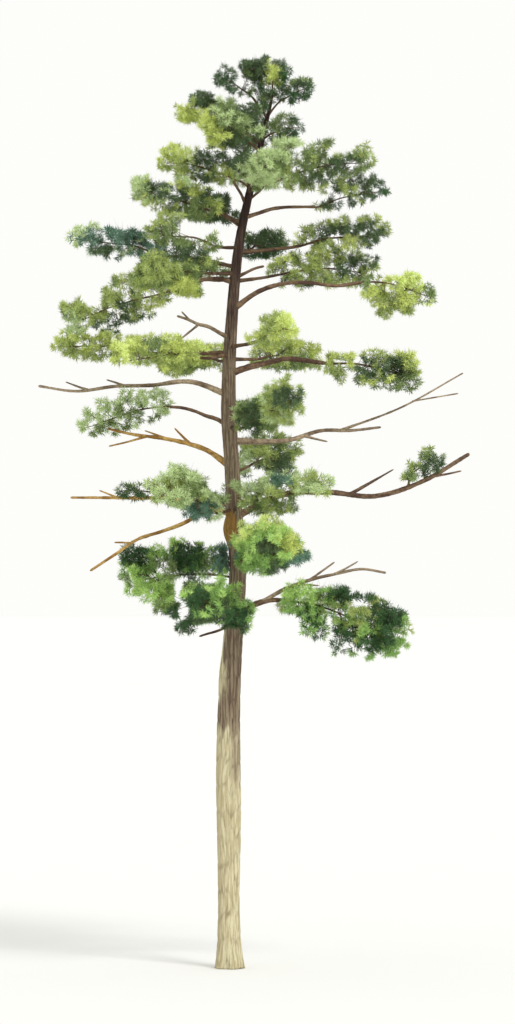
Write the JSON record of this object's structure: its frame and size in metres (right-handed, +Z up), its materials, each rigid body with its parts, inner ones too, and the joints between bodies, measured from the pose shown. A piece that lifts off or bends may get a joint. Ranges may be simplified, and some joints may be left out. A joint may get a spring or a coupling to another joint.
{
  "type": "pine tree",
  "caption": "Tall mature pine with a long clean tapering trunk, a burl, open tiers of needle foliage and bare dead limbs.",
  "frame": {"origin": "middle of the flat cut under the trunk, at ground level", "axes": "+Z up the trunk, +X to the right as seen from the front, -Y to the front"},
  "size_m": [10.4988, 7.7134, 22.0279],
  "materials": {
    "trunk_bark": "rough furrowed bark, pale buff below and darker in the crown",
    "bough_bark": "rough dark brown bark",
    "pale_wood": "dry bare ochre wood",
    "grey_wood": "dry bare grey-brown wood",
    "needles": "matt needles in light yellow-green to dark blue-green"
  },
  "bodies": {
    "root": {"trunk": "trunk_bark", "bough_3_right": "bough_bark", "bough_4_left": "bough_bark", "bough_5_left": "bough_bark", "bough_5_right": "bough_bark", "bough_6_right": "bough_bark", "bough_7_left": "bough_bark", "bough_9_right": "bough_bark", "bough_11_right": "bough_bark", "bare_limb_6_left": "grey_wood", "bare_limb_7_left": "grey_wood", "bare_limb_8_right": "grey_wood", "bare_limb_8_left": "pale_wood", "bare_limb_9_left": "pale_wood", "bare_limb_10_left": "pale_wood", "bare_limb_11_right": "grey_wood", "foliage_top_leader": "needles", "foliage_top_left": "needles", "foliage_top_right": "needles", "foliage_1_left": "needles", "foliage_1_front": "needles", "foliage_1_back": "needles", "foliage_1_right": "needles", "foliage_2_left": "needles", "foliage_2_front": "needles", "foliage_2_right": "needles", "foliage_2_back": "needles", "foliage_3_left": "needles", "foliage_3_right": "needles", "foliage_3_back": "needles", "foliage_4_left_far": "needles", "foliage_4_left": "needles", "foliage_4_back": "needles", "foliage_4_right": "needles", "foliage_5_left": "needles", "foliage_5_left_far": "needles", "foliage_5_back": "needles", "foliage_5_right": "needles", "foliage_5_right_far": "needles", "foliage_6_left_far": "needles", "foliage_6_left_front": "needles", "foliage_6_left_back": "needles", "foliage_6_right_front": "needles", "foliage_6_right_back": "needles", "foliage_6_right_far": "needles", "foliage_7_left": "needles", "foliage_7_front": "needles", "foliage_7_back": "needles", "foliage_8_back": "needles", "foliage_9_front": "needles", "foliage_9_left": "needles", "foliage_9_left_far": "needles", "foliage_9_right_far": "needles", "foliage_9_back": "needles", "foliage_10_front": "needles", "foliage_10_back": "needles", "foliage_11_left": "needles", "foliage_11_front": "needles", "foliage_11_back": "needles", "foliage_11_right": "needles"}
  },
  "joints": []
}
